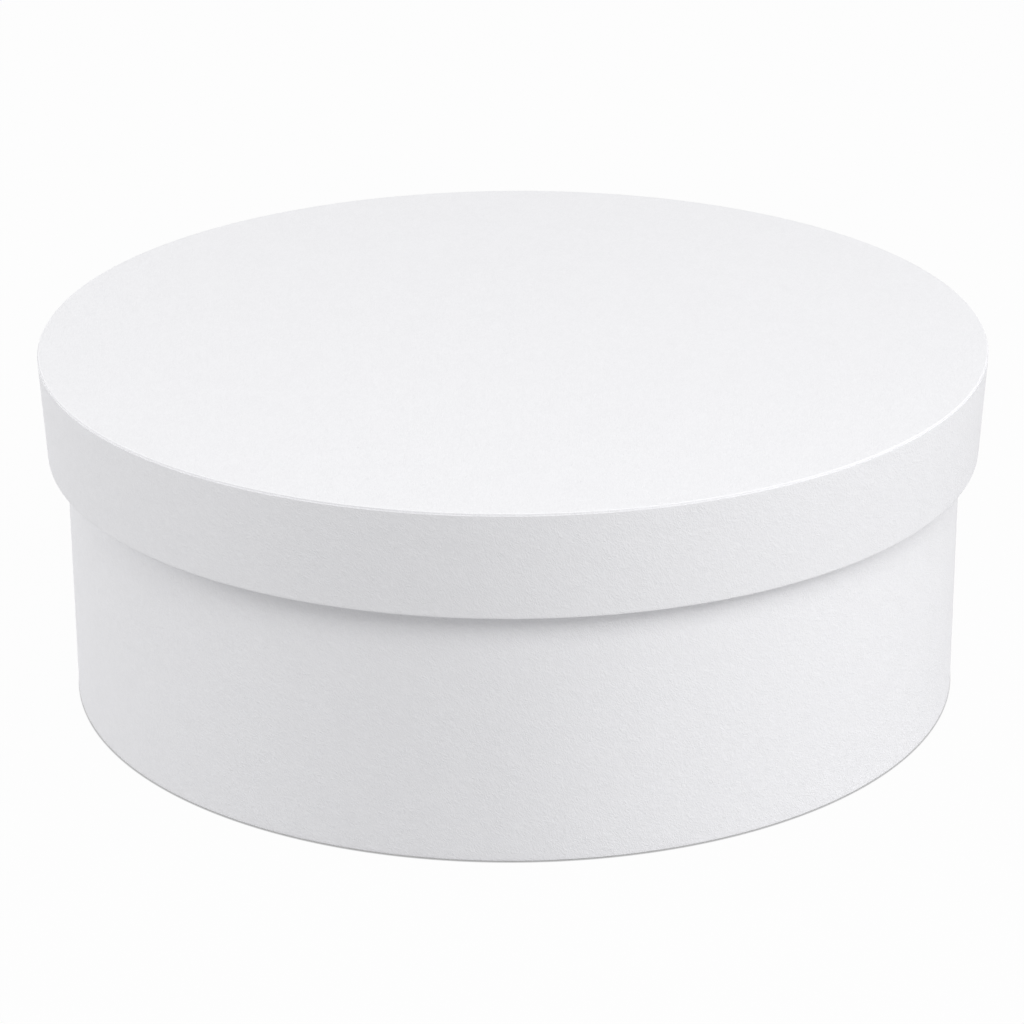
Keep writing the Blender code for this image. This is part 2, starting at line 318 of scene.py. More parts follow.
@dataclass(frozen=True)
class EmbossedPaper(Finish):
    """White cover paper, embossed with short slanting creases over a fine tooth; its creases carry painted
    shade and its folds a painted highlight.
    """

    slot: Slot = Slot.EMBOSSED_PAPER
    light: tuple[float, ...] = opaque(0.876, 0.8755, 0.8935)
    dull: tuple[float, ...] = opaque(0.846, 0.8455, 0.8635)
    # Folds and cut edges turn towards this lighter colour: partly rubbed paper, partly a painted highlight
    # along the folds.
    worn_and_highlight: tuple[float, ...] = opaque(0.905, 0.9045, 0.919)
    worn_and_highlight_share: float = 0.5
    worn_flatness: float = 0.6
    worn_polish: float = 0.12
    roughness: float = 0.76
    crease_length: float = 0.0036
    crease_width: float = 0.00048
    crease_sharpness: float = 120.0
    crease_mean: float = 0.8
    # How far the creases' ridges are painted lighter and their hollows darker: painted shade and highlight of
    # the relief.
    crease_painted_shade: float = 0.6
    slant: float = math.radians(-44)
    spread: float = math.radians(21)
    bend_size: float = 0.0020
    bend_reach: float = 0.0014
    fade_size: float = 0.0020
    fade_depth: float = 2.0
    tooth_size: float = 0.0003
    tooth_share: float = 0.2
    tooth_shade: float = 2.5
    tooth_roughness: float = 0.2
    mottle_size: float = 0.009
    mottle_detail: float = 3.0
    mottle_shade: float = 0.9
    mean_shade: float = 0.45
    depth: float = 0.0000145

    def fill(self, graph: Graph) -> None:
        """Lay out the paper's nodes.

        Args:
            graph: The graph of its material.
        """
        place = graph.node("ShaderNodeUVMap", {"uv_map": SHEET_MAP})
        wear = graph.node("ShaderNodeAttribute", {"attribute_name": "wear"}, output="Fac")
        bend = graph.noise(place, self.bend_size, colour=True) - NOISE_MEAN
        bent = place + bend * self.bend_reach
        boldness = (graph.noise(place, self.fade_size) - NOISE_MEAN) * self.fade_depth + 1.0
        crossed = self.creases(graph, bent, -self.spread) + self.creases(graph, bent, self.spread)
        creases = crossed * boldness
        tooth = graph.noise(place, self.tooth_size)
        height = (creases + tooth * self.tooth_share) * (1.0 - wear * self.worn_flatness)
        mottle = graph.noise(place, self.mottle_size, self.mottle_detail)
        # The tooth term is random tone; the crease term paints the ridges lighter and the hollows darker, a
        # painted shade of the relief.
        fine = (tooth - NOISE_MEAN) * self.tooth_shade - (creases - self.crease_mean) * self.crease_painted_shade
        shade = (mottle - NOISE_MEAN) * self.mottle_shade + fine + self.mean_shade
        unworn = graph.mix(shade, self.light, self.dull)
        # Folds and cut edges are mixed towards the lighter worn colour: partly rubbed paper, partly a painted
        # highlight along the folds.
        colour = graph.mix(wear * self.worn_and_highlight_share, unworn, self.worn_and_highlight)
        roughness = self.roughness + (tooth - NOISE_MEAN) * self.tooth_roughness - wear * self.worn_polish
        graph.finish(colour, roughness, graph.relief(height, self.depth))

    def creases(self, graph: Graph, place: Wire, spread: float) -> Wire:
        """Return the height of the creases that lie to one side of the slant, from 0 to 1."""
        run = graph.grain(place, self.crease_length, self.crease_width, self.slant + spread) - NOISE_MEAN
        return (1.0 - run * run * self.crease_sharpness).at_least(0.0)


@dataclass(frozen=True)
class LiningPaper(Finish):
    """Plain white lining paper, smooth, with faint fibres."""

    slot: Slot = Slot.LINING_PAPER
    light: tuple[float, ...] = opaque(0.850, 0.852, 0.858)
    dull: tuple[float, ...] = opaque(0.815, 0.815, 0.815)
    worn_shade: float = 0.2
    worn_polish: float = 0.1
    roughness: float = 0.78
    fibre_length: float = 0.0030
    fibre_width: float = 0.0004
    fibre_detail: float = 2.0
    fibre_shade: float = 0.6
    fibre_roughness: float = 0.2
    mottle_size: float = 0.012
    mottle_detail: float = 3.0
    mottle_shade: float = 1.2
    mean_shade: float = 0.3
    depth: float = 0.00002

    def fill(self, graph: Graph) -> None:
        """Lay out the lining's nodes.

        Args:
            graph: The graph of its material.
        """
        place = graph.node("ShaderNodeUVMap", {"uv_map": SHEET_MAP})
        wear = graph.node("ShaderNodeAttribute", {"attribute_name": "wear"}, output="Fac")
        along = graph.grain(place, self.fibre_length, self.fibre_width, 0.0, self.fibre_detail)
        across = graph.grain(place, self.fibre_length, self.fibre_width, QUARTER_TURN, self.fibre_detail)
        fibres = (along + across) * (1 / 2)
        mottle = graph.noise(place, self.mottle_size, self.mottle_detail)
        fine = (fibres - NOISE_MEAN) * self.fibre_shade + wear * self.worn_shade
        shade = (mottle - NOISE_MEAN) * self.mottle_shade + fine + self.mean_shade
        colour = graph.mix(shade, self.light, self.dull)
        roughness = self.roughness + (fibres - NOISE_MEAN) * self.fibre_roughness - wear * self.worn_polish
        graph.finish(colour, roughness, graph.relief(fibres, self.depth))


@dataclass(frozen=True)
class Greyboard(Finish):
    """Grey recycled board: matt, with light fibres and dark flecks."""

    slot: Slot = Slot.GREYBOARD
    light: tuple[float, ...] = opaque(0.43, 0.41, 0.37)
    dull: tuple[float, ...] = opaque(0.27, 0.25, 0.22)
    fleck: tuple[float, ...] = opaque(0.12, 0.11, 0.10)
    roughness: float = 0.92
    fibre_size: float = 0.0008
    fibre_detail: float = 4.0
    fibre_shade: float = 1.6
    fibre_roughness: float = 0.15
    cloud_size: float = 0.0096
    cloud_detail: float = 2.0
    fleck_size: float = 0.0016
    fleck_start: float = 0.66
    fleck_contrast: float = 9.0
    depth: float = 0.00008

    def fill(self, graph: Graph) -> None:
        """Lay out the board's nodes.

        Args:
            graph: The graph of its material.
        """
        place = graph.node("ShaderNodeTexCoord", output="Object")
        fibres = graph.noise(place, self.fibre_size, self.fibre_detail)
        cloud = graph.noise(place, self.cloud_size, self.cloud_detail)
        specks = graph.noise(place, self.fleck_size)
        body = graph.mix((fibres - NOISE_MEAN) * self.fibre_shade + cloud, self.light, self.dull)
        colour = graph.mix((specks - self.fleck_start) * self.fleck_contrast, body, self.fleck)
        roughness = self.roughness - (fibres - NOISE_MEAN) * self.fibre_roughness
        graph.finish(colour, roughness, graph.relief(fibres, self.depth))


@dataclass(frozen=True)
class GummedTape(Finish):
    """Brown gummed paper tape, with long fibres and a faint sheen."""

    slot: Slot = Slot.GUMMED_TAPE
    light: tuple[float, ...] = opaque(0.60, 0.47, 0.31)
    dull: tuple[float, ...] = opaque(0.44, 0.32, 0.19)
    roughness: float = 0.58
    fibre_length: float = 0.0060
    fibre_width: float = 0.0005
    fibre_detail: float = 3.0
    fibre_shade: float = 1.4
    fibre_roughness: float = 0.3
    cloud_size: float = 0.012
    depth: float = 0.00003

    def fill(self, graph: Graph) -> None:
        """Lay out the tape's nodes.

        Args:
            graph: The graph of its material.
        """
        place = graph.node("ShaderNodeTexCoord", output="Object")
        upright = graph.scaled(place, (1 / self.fibre_width, 1 / self.fibre_width, 1 / self.fibre_length))
        fibres = graph.noise(upright, 1.0, self.fibre_detail)
        cloud = graph.noise(place, self.cloud_size)
        colour = graph.mix((fibres - NOISE_MEAN) * self.fibre_shade + cloud, self.light, self.dull)
        roughness = self.roughness + (fibres - NOISE_MEAN) * self.fibre_roughness
        graph.finish(colour, roughness, graph.relief(fibres, self.depth))


@dataclass(frozen=True)
class Corner:
    """One corner of a section: its place in the sheet's middle, the fold's radius, and a cut end's wear."""

    reach: float
    height: float
    fold: float = 0.0
    wear: float = 0.0


@dataclass(frozen=True)
class Mark:
    """One place on a section: where it lies, which way is out, how far along it is and how worn."""

    place: Vector
    out: Vector
    run: float
    wear: float


@dataclass(frozen=True)
class Bend:
    """How finely folds are drawn, and how far from a fold or a cut edge its wear ends on a long stretch."""

    steps: int = 6
    shoulder: float = 0.0006
    long_stretch: float = 0.0018

    def trace(self, corners: list[Corner]) -> list[Mark]:
        """Walk along a section from its first corner to its last.

        Args:
            corners: The section's corners; out is to the right of the walk.

        Returns:
            The marks along it, with its folds rounded.
        """
        places = [Vector((corner.reach, corner.height)) for corner in corners]
        ways = [(after - before).normalized() for before, after in zip(places, places[1:])]
        walk = [(places[0], right_of(ways[0]), corners[0].wear)]
        for corner, place, before, after in zip(corners[1:], places[1:], ways, ways[1:]):
            walk += self.turned(place, before, after, corner.fold)
        walk.append((places[-1], right_of(ways[-1]), corners[-1].wear))
        return measured(self.shouldered(walk))

    def shouldered(self, walk: list[Step]) -> list[Step]:
        """Add an unworn place next to both ends of each long straight stretch.

        Args:
            walk: The walk along a section.

        Returns:
            The walk with those places added.
        """
        held = [walk[0]]
        for (start, _, _), stop in zip(walk, walk[1:]):
            way = stop[0] - start
            if way.length > self.long_stretch:
                step = way.normalized()
                held.append((start + step * self.shoulder, right_of(step), 0.0))
                held.append((stop[0] - step * self.shoulder, right_of(step), 0.0))
            held.append(stop)
        return held

    def turned(self, place: Vector, before: Vector, after: Vector, fold: float) -> list[Step]:
        """Round one corner between two directions.

        Args:
            place: The corner.
            before: The direction of the walk before it.
            after: The direction after it.
            fold: The fold's radius, or 0 for a plain corner.

        Returns:
            The places round the corner.
        """
        angle = before.angle_signed(after)
        if not fold:
            out = (right_of(before) + right_of(after)) / 2
            return [(place, out / out.length_squared, 0.0)]
        cut = fold * math.tan(abs(angle) / 2)
        side = math.copysign(1.0, angle)
        centre = place - before * cut + right_of(before) * fold * side
        rounded = []
        for step in range(self.steps + 1):
            out = right_of(before)
            out.rotate(Matrix.Rotation(-angle * step / self.steps, 2))
            wear = math.sin(math.pi * step / self.steps)
            rounded.append((centre - out * fold * side, out, wear))
        return rounded


def right_of(way: Vector) -> Vector:
    """Return the direction to the right of a walk across a section."""
    return Vector((way.y, -way.x))


def measured(walk: list[Step]) -> list[Mark]:
    """Add to each place of a walk how far along it is.

    Args:
        walk: The walk along a section.

    Returns:
        The section's marks.
    """
    marks = []
    run = 0.0
    for number, (place, out, wear) in enumerate(walk):
        if number:
            run += (place - walk[number - 1][0]).length
        marks.append(Mark(place, out, run, wear))
    return marks


def at_turn(reach: float, height: float, turn: float) -> Vector:
    """Return the point at a reach and height, turned about Z."""
    return Vector((reach * math.cos(turn), reach * math.sin(turn), height))


def turn_of(point: Vector) -> float:
    """Return how far a point is turned about Z."""
    return math.atan2(point.y, point.x)


def reach_of(point: Vector) -> float:
    """Return how far a point lies from the axis."""
    return math.hypot(point.x, point.y)


class Sheet:
    """A sheet of paper in the making, whose corners know their place on it when it is laid flat."""

    SEGMENTS = 360
    SMOOTH_ANGLE = math.radians(40)

    def __init__(self, thickness: float) -> None:
        """Start an empty sheet.

        Args:
            thickness: The paper's thickness.
        """
        self.thickness = thickness
        self.shape = bmesh.new()
        layers = self.shape.verts.layers
        for name in ("turn", "run", "wear"):
            layers.float.new(name)
        layers.float_vector.new("out")
        self.turn = layers.float["turn"]
        self.run = layers.float["run"]
        self.wear = layers.float["wear"]
        self.out = layers.float_vector["out"]

    def row(self, marks: list[Mark], off: float, turn: float) -> list[Vert]:
        """Add the corners along one side of a section.

        Args:
            marks: The section.
            off: How far out from the middle of the sheet that side lies.
            turn: The section's turn about Z.

        Returns:
            The new corners.
        """
        made = []
        for mark in marks:
            place = mark.place + mark.out * off
            vert = self.shape.verts.new(at_turn(place.x, place.y, turn))
            vert[self.turn] = turn
            vert[self.run] = mark.run
            vert[self.wear] = mark.wear
            vert[self.out] = Vector((mark.out.x, mark.out.y, 0))
            made.append(vert)
        return made

    def spin(self, parts: list, closed: bool) -> list:
        """Sweep parts of the sheet once round Z.

        Args:
            parts: The faces or edges to sweep.
            closed: Whether the last ones are merged with the first.

        Returns:
            The parts at the end of the sweep.
        """
        swept = bmesh.ops.spin(
            self.shape,
            geom=parts,
            cent=Vector(),
            axis=UP,
            angle=FULL_TURN,
            steps=self.SEGMENTS,
            use_merge=closed,
        )
        return swept["geom_last"]

    def strip(self, marks: list[Mark], seam: float, gap: float) -> list[Face]:
        """Sweep a section once round Z, and leave a gap at the seam.

        Args:
            marks: The section.
            seam: The seam's turn about Z.
            gap: The distance between the strip's two ends.

        Returns:
            The faces of the strip's far end.
        """
        near = self.row(marks, -self.thickness / 2, seam)
        far = self.row(marks, self.thickness / 2, seam)
        first = [self.shape.faces.new(corners) for corners in zip(near, near[1:], far[1:], far)]
        last = [part for part in self.spin(first, closed=False) if isinstance(part, Face)]
        for vert in self.shape.verts:
            vert[self.turn] = (turn_of(vert.co) - seam) % FULL_TURN
        for faces, turn, side in ((first, 0.0, 1), (last, FULL_TURN, -1)):
            for vert in {vert for face in faces for vert in face.verts}:
                vert[self.turn] = turn
                self.slide(vert, side * gap / 2)
        return last

    def disc(self, marks: list[Mark]) -> None:
        """Sweep a section that ends on the axis into a closed round sheet.

        Args:
            marks: The section.
        """
        near = self.row(marks, -self.thickness / 2, 0.0)
        far = self.row(marks, self.thickness / 2, 0.0)
        outline = near[::-1] + far
        edges = [self.shape.edges.new(pair) for pair in zip(outline, outline[1:])]
        self.spin(edges, closed=True)
        bmesh.ops.remove_doubles(self.shape, verts=self.shape.verts, dist=self.thickness / self.SEGMENTS)

    def slide(self, vert: Vert, distance: float, outwards: float = 0.0) -> None:
        """Move a corner round the axis, and off the section.

        Args:
            vert: The corner.
            distance: How far it moves round the axis.
            outwards: How far it moves along its own out direction.
        """
        out = vert[self.out]
        lifted = vert.co + at_turn(out.x, out.y, turn_of(vert.co)) * outwards
        angle = distance / reach_of(lifted)
        vert.co = Matrix.Rotation(angle, 3, "Z") @ lifted
        vert[self.turn] += angle

    def grow(self, faces: list[Face]) -> tuple[list[Vert], list[Face]]:
        """Extrude faces of the closed sheet in place.

        Args:
            faces: The faces to carry on from, which are removed.

        Returns:
            The new corners and the new end faces.
        """
        grown = bmesh.ops.extrude_face_region(self.shape, geom=faces)["geom"]
        bmesh.ops.delete(self.shape, geom=faces, context="FACES")
        verts = [part for part in grown if isinstance(part, Vert)]
        ends = [part for part in grown if isinstance(part, Face)]
        return verts, ends

    def lap(self, ends: list[Face], gap: float, length: float, lift: float, steps: int) -> None:
        """Carry the strip's end over its beginning.

        Args:
            ends: The faces of the strip's far end that are carried on.
            gap: The distance over which the end climbs onto the beginning.
            length: How far it lies over the beginning.
            lift: How far it climbs, along each corner's own out direction.
            steps: How many steps the lapped length takes.
        """
        moves = [(gap, lift)] + [(length / steps, 0.0)] * steps
        for along, outwards in moves:
            verts, ends = self.grow(ends)
            for vert in verts:
                self.slide(vert, along, outwards)

    def tabs(self, count: int, steps: int, end_share: float, length: float, way: Way) -> None:
        """Carry the sheet's first edge on in notched tabs.

        Args:
            count: The number of tabs round the box.
            steps: How many steps a tab's length takes.
            end_share: The width of a tab's end, as a share of its root's.
            length: The length of a tab.
            way: The direction in which it is turned.
        """
        pitch = FULL_TURN / count
        roots: dict[int, list[Face]] = {}
        start = min(vert[self.run] for vert in self.shape.verts)
        for face in self.shape.faces:
            if all(vert[self.run] == start for vert in face.verts):
                middle = turn_of(face.calc_center_median()) % FULL_TURN
                roots.setdefault(int(middle / pitch), []).append(face)
        outwards, upwards = way.value
        for number, faces in roots.items():
            middle = (number + 1 / 2) * pitch
            held = {}
            for step in range(1, steps + 1):
                share = step / steps
                far = length * share
                verts, faces = self.grow(faces)
                for vert in verts:
                    root = held.get(tuple(vert.co), vert.co.copy())
                    away = (turn_of(root) - middle + math.pi) % FULL_TURN - math.pi
                    turn = middle + away * (1 - (1 - end_share) * share)
                    vert.co = at_turn(reach_of(root) + outwards * far, root.z + upwards * far, turn)
                    vert[self.run] = start - far
                    held[tuple(vert.co)] = root

    def lean(self, top: float, height: float, draw_in: float) -> None:
        """Draw the sheet in evenly towards a lower edge.

        Args:
            top: The height at which it stays as it is.
            height: How far under its top it is drawn in by the whole distance.
            draw_in: That distance.
        """
        for vert in self.shape.verts:
            reach = reach_of(vert.co)
            if reach > draw_in:
                share = (reach - draw_in * (top - vert.co.z) / height) / reach
                vert.co.x *= share
                vert.co.y *= share

    def map_strip(self, radius: float) -> None:
        """Map the strip in metres: round the box, and along the section."""
        self.map_with(lambda vert: (vert[self.turn] * radius, vert[self.run]))

    def map_disc(self, radius: float, cut_turn: float = 0.0) -> None:
        """Map the round sheet in metres, as it lay before its edge was folded.

        Args:
            radius: The flat sheet's radius.
            cut_turn: How far the sheet was turned when it was cut from its stock.
        """

        def flat(vert: Vert) -> tuple[float, float]:
            """Return a corner's place on the flat sheet."""
            place = at_turn(radius - vert[self.run], 0.0, turn_of(vert.co) - cut_turn)
            return (place.x, place.y)

        self.map_with(flat)

    def map_with(self, flat: Callable[[Vert], tuple[float, float]]) -> None:
        """Give each face's corners their places on the flat sheet.

        Args:
            flat: Gives a corner's place on it.
        """
        layer = self.shape.loops.layers.uv.new(SHEET_MAP)
        for face in self.shape.faces:
            for loop in face.loops:
                loop[layer].uv = flat(loop.vert)

    def mesh(self, name: str) -> bpy.types.Mesh:
        """Turn the sheet into a finished mesh.

        Args:
            name: The mesh's name.

        Returns:
            The mesh, which keeps the sheet's map and its wear.
        """
        bmesh.ops.recalc_face_normals(self.shape, faces=self.shape.faces)
        layers = self.shape.verts.layers
        for spent in ("turn", "run"):
            layers.float.remove(layers.float[spent])
        layers.float_vector.remove(layers.float_vector["out"])
        made = bpy.data.meshes.new(name)
        self.shape.to_mesh(made)
        self.shape.free()
        made.shade_smooth()
        made.set_sharp_from_angle(angle=self.SMOOTH_ANGLE)
        return made


def linked(name: str, data: bpy.types.ID) -> bpy.types.Object:
    """Make an object in the scene.

    Args:
        name: Its name.
        data: Its mesh, lamp or camera.

    Returns:
        The object.
    """
    made = bpy.data.objects.new(name, data)
    bpy.context.scene.collection.objects.link(made)
    return made


def dress(sheet: Sheet, half: Half, node: str, finish: Finish) -> None:
    """Turn a sheet into the finished piece that stands for a node.

    Args:
        sheet: The sheet.
        half: The half of the box that it rides on.
        node: The node that it stands for.
        finish: Its finish.
    """
    name = node + "_sheet"
    mesh = sheet.mesh(name)
    mesh.materials.append(finish.material())
    made = linked(name, mesh)
    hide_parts(node)
    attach(made, half.value)
    log.info("%s: %d faces, stands for %s", name, len(mesh.polygons), node)


def keep(node: str, finish: Finish) -> None:
    """Keep a node of the frame, under a finish.

    Args:
        node: The node.
        finish: Its finish.
    """
    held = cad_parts[node].data.materials
    held.clear()
    held.append(finish.material())
    log.info("%s: kept, finished in %s", node, finish.slot.value)


@dataclass(frozen=True)
class Extent:
    """How far a node of the frame reaches: out from the axis, and from its bottom to its top."""

    reach: float
    bottom: float
    top: float

    @classmethod
    def of(cls, node: str) -> "Extent":
        """Return the extent of a node."""
        low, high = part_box(node)
        return cls(high.x, low.z, high.z)

    def middle(self) -> float:
        """Return the height halfway up."""
        return (self.bottom + self.top) / 2


@dataclass(frozen=True)
class Stock:
    """The papers' thickness, the board's, and how all sheets are folded, notched and lapped."""

    paper: float
    board: float
    layer_gap: float
    cling: float = 0.00003
    fold: float = 0.00013
    cut_wear: float = 0.4
    tab_count: int = 40
    tab_steps: int = 3
    tab_end_share: float = 0.78
    root: float = 0.0003
    seam: float = math.radians(117)
    seam_gap: float = 0.001
    lap: float = 0.010
    lap_steps: int = 6
    bend: Bend = Bend()

    @classmethod
    def from_frame(cls) -> "Stock":
        """Read the thicknesses off the frame's flat discs and its wall.

        Returns:
            The stock.
        """
        paper = Extent.of("base_floor_lining")
        board = Extent.of("base_floor_board")
        wrap = Extent.of("base_wall_wrap")
        wall = Extent.of("base_wall_board")
        thin = paper.top - paper.bottom
        return cls(paper=thin, board=board.top - board.bottom, layer_gap=wrap.reach - wall.reach - thin)

    def strip(self, corners: list[Corner], side: Side, lap_start: float = 0.0) -> Sheet:
        """Roll a strip of paper, its end lapped over its beginning at the seam.

        Args:
            corners: The corners of its section.
            side: The side on which the end lies.
            lap_start: How far along the section the lap begins.

        Returns:
            The sheet.
        """
        sheet = Sheet(self.paper)
        ends = sheet.strip(self.bend.trace(corners), self.seam, self.seam_gap)
        lapped = [face for face in ends if all(vert[sheet.run] >= lap_start for vert in face.verts)]
        lift = side.value * (self.paper + self.cling)
        sheet.lap(lapped, self.seam_gap, self.lap, lift, self.lap_steps)
        return sheet

    def disc(self, corners: list[Corner], radius: float) -> Sheet:
        """Cut a disc of paper and press it into place.

        Args:
            corners: The corners of its section, from its edge to the axis.
            radius: Its radius.

        Returns:
            The sheet.
        """
        sheet = Sheet(self.paper)
        sheet.disc(self.bend.trace(corners))
        sheet.map_disc(radius)
        return sheet

    def flat_disc(self, extent: Extent) -> Sheet:
        """Cut a disc of paper that lies flat.

        Args:
            extent: How far it reaches.

        Returns:
            The sheet.
        """
        edge = Corner(extent.reach, extent.middle(), wear=self.cut_wear)
        return self.disc([edge, Corner(0.0, extent.middle())], extent.reach)

    def notch(self, sheet: Sheet, length: float, way: Way) -> None:
        """Carry a sheet's first edge on in the tabs that all folded sheets have."""
        sheet.tabs(self.tab_count, self.tab_steps, self.tab_end_share, length, way)


@dataclass
class BaseHalf:
    """The body of the box: its wall wrap, its linings and its underside paper."""

    stock: Stock
    wrap: Extent
    wall: Extent
    lining: Extent
    floor: Extent
    underside: Extent
    foot_tab: float = 0.012
    floor_tab: float = 0.010
    floor_fold: float = 0.0009
    turn_in: float = 0.015
    edge_reach: float = 0.002

    @classmethod
    def from_frame(cls, stock: Stock) -> "BaseHalf":
        """Take the body's sizes from the frame.

        Args:
            stock: The papers and boards.

        Returns:
            The body.
        """
        return cls(
            stock=stock,
            wrap=Extent.of("base_wall_wrap"),
            wall=Extent.of("base_wall_board"),
            lining=Extent.of("base_wall_lining"),
            floor=Extent.of("base_floor_lining"),
            underside=Extent.of("base_underside_paper"),
        )

    def wall_wrap(self) -> Sheet:
        """Build the embossed strip round the wall, with its foot tabs, mouth turn-in and lap.

        Returns:
            The sheet.
        """
        half_paper = self.stock.paper / 2
        skin = self.wrap.reach - half_paper
        foot = self.underside.top + self.stock.cling + half_paper
        mouth = self.wrap.top - half_paper
        inside = self.wall.reach - self.stock.board - self.stock.layer_gap - half_paper
        corners = [
            Corner(skin - self.stock.fold - self.stock.root, foot),
            Corner(skin, foot, self.stock.fold),
            Corner(skin, mouth, self.stock.fold),
            Corner(inside, mouth, self.stock.fold),
            Corner(inside, self.wrap.top - self.turn_in, wear=self.stock.cut_wear),
        ]
        sheet = self.stock.strip(corners, Side.OUTSIDE, self.stock.root / 2)
        self.stock.notch(sheet, self.foot_tab - self.stock.root, Way.INWARDS)
        sheet.map_strip(self.wrap.reach)
        return sheet

    def wall_lining(self) -> Sheet:
        """Build the lining strip inside the wall, with its floor tabs and lap.

        Returns:
            The sheet.
        """
        skin = self.lining.reach - self.stock.paper / 2
        foot = self.lining.bottom + self.stock.paper / 2
        pressed = skin + self.stock.layer_gap - self.stock.cling
        corners = [
            Corner(skin - self.floor_fold - self.stock.root, foot),
            Corner(skin, foot, self.floor_fold),
            Corner(skin, self.lining.top - self.edge_reach, self.edge_reach),
            Corner(pressed, self.lining.top, wear=self.stock.cut_wear),
        ]
        sheet = self.stock.strip(corners, Side.INSIDE, self.stock.root / 2)
        self.stock.notch(sheet, self.floor_tab - self.stock.root, Way.INWARDS)
        sheet.map_strip(self.lining.reach)
        return sheet

    def floor_lining(self) -> Sheet:
        """Build the disc on the floor, pressed down at its edge onto the tabs.

        Returns:
            The sheet.
        """
        middle = self.floor.middle()
        pressed = middle - self.stock.layer_gap + self.stock.cling
        corners = [
            Corner(self.floor.reach, pressed, wear=self.stock.cut_wear),
            Corner(self.floor.reach - self.edge_reach, middle, self.edge_reach),
            Corner(0.0, middle),
        ]
        return self.stock.disc(corners, self.floor.reach)

    def build(self) -> None:
        """Build and dress all of the body's pieces."""
        dress(self.wall_wrap(), Half.BASE, "base_wall_wrap", EmbossedPaper())
        dress(self.wall_lining(), Half.BASE, "base_wall_lining", LiningPaper())
        dress(self.floor_lining(), Half.BASE, "base_floor_lining", LiningPaper())
        dress(self.stock.flat_disc(self.underside), Half.BASE, "base_underside_paper", LiningPaper())
        keep("base_wall_board", Greyboard())
        keep("base_floor_board", Greyboard())
        keep("base_wall_joint_tape", GummedTape())


@dataclass
class LidHalf:
    """The lid of the box: its top paper, its lining and its rim wrap, whose paper is a darker copy of the
    cover paper, painted shade on the rim.
    """

    stock: Stock
    wrap: Extent
    top_paper: Extent
    lining: Extent
    draw_in: float = 0.0013
    crest_fold: float = 0.00012
    flank_lean: float = 0.00004
    glue: float = 0.000008
    edge_rise: float = 0.0002
    hem_drop: float = 0.0003
    papers_round_turn_in: int = 3
    disc_turn: float = math.radians(118)
    # A darker copy of the cover paper for the rim wrap: painted shade, so that the rim comes out darker than
    # the body.
    shaded_strip_paper: EmbossedPaper = EmbossedPaper(
        light=opaque(0.857, 0.8565, 0.874),
        dull=opaque(0.828, 0.8275, 0.845),
        worn_and_highlight=opaque(0.885, 0.8845, 0.898),
    )

    @classmethod
    def from_frame(cls, stock: Stock) -> "LidHalf":
        """Take the lid's sizes from the frame.

        Args:
            stock: The papers and boards.

        Returns:
            The lid.
        """
        return cls(
            stock=stock,
            wrap=Extent.of("lid_rim_wrap"),
            top_paper=Extent.of("lid_top_paper"),
            lining=Extent.of("lid_top_lining"),
        )

    def rim_height(self) -> float:
        """Return the height of the rim over all."""
        return self.top_paper.top - self.wrap.bottom

    def upright(self) -> float:
        """Return the reach of the rim's skin before it is drawn in."""
        drawn = self.draw_in * (self.top_paper.top - self.wrap.top) / self.rim_height()
        return self.wrap.reach - self.stock.cling + drawn

    def rim_wrap(self) -> Sheet:
        """Build the embossed strip round the rim, with its turn-in and its lap.

        Returns:
            The sheet.
        """
        half_paper = self.stock.paper / 2
        skin = self.upright() - half_paper
        low = self.wrap.bottom - self.hem_drop + half_paper
        papers = self.papers_round_turn_in * (self.stock.paper + self.stock.layer_gap)
        inside = self.upright() - papers - self.stock.board - self.stock.layer_gap - half_paper
        corners = [
            Corner(inside, self.lining.top, wear=self.stock.cut_wear),
            Corner(inside, low, self.stock.fold),
            Corner(skin, low, self.stock.fold),
            Corner(skin, self.wrap.top + self.edge_rise, wear=self.stock.cut_wear),
        ]
        sheet = self.stock.strip(corners, Side.OUTSIDE)
        sheet.lean(self.top_paper.top, self.rim_height(), self.draw_in)
        sheet.map_strip(self.wrap.reach)
        return sheet

    def top_disc(self) -> Sheet:
        """Build the embossed disc on the lid, its edge turned down in tabs under the rim wrap.

        Returns:
            The sheet.
        """
        skin = self.upright() - self.stock.paper - self.glue - self.stock.paper / 2
        top = self.top_paper.top - self.stock.paper / 2
        root = self.wrap.top - self.stock.root
        marks = self.stock.bend.trace([
            Corner(skin, root),
            Corner(skin, self.wrap.top + self.edge_rise),
            Corner(skin - self.flank_lean, top, self.crest_fold),
            Corner(0.0, top),
        ])
        sheet = Sheet(self.stock.paper)
        sheet.disc(marks)
        self.stock.notch(sheet, root - self.top_paper.bottom, Way.DOWN)
        sheet.lean(self.top_paper.top, self.rim_height(), self.draw_in)
        sheet.map_disc(marks[-1].run, self.disc_turn)
        return sheet

    def build(self) -> None:
        """Build and dress all of the lid's pieces."""
        # The rim wrap takes the darker copy of the cover paper, which is painted shade.
        dress(self.rim_wrap(), Half.LID, "lid_rim_wrap", self.shaded_strip_paper)
        dress(self.top_disc(), Half.LID, "lid_top_paper", EmbossedPaper())
        dress(self.stock.flat_disc(self.lining), Half.LID, "lid_top_lining", LiningPaper())
        keep("lid_rim_board", Greyboard())
        keep("lid_top_board", Greyboard())
        keep("lid_rim_joint_tape", GummedTape())


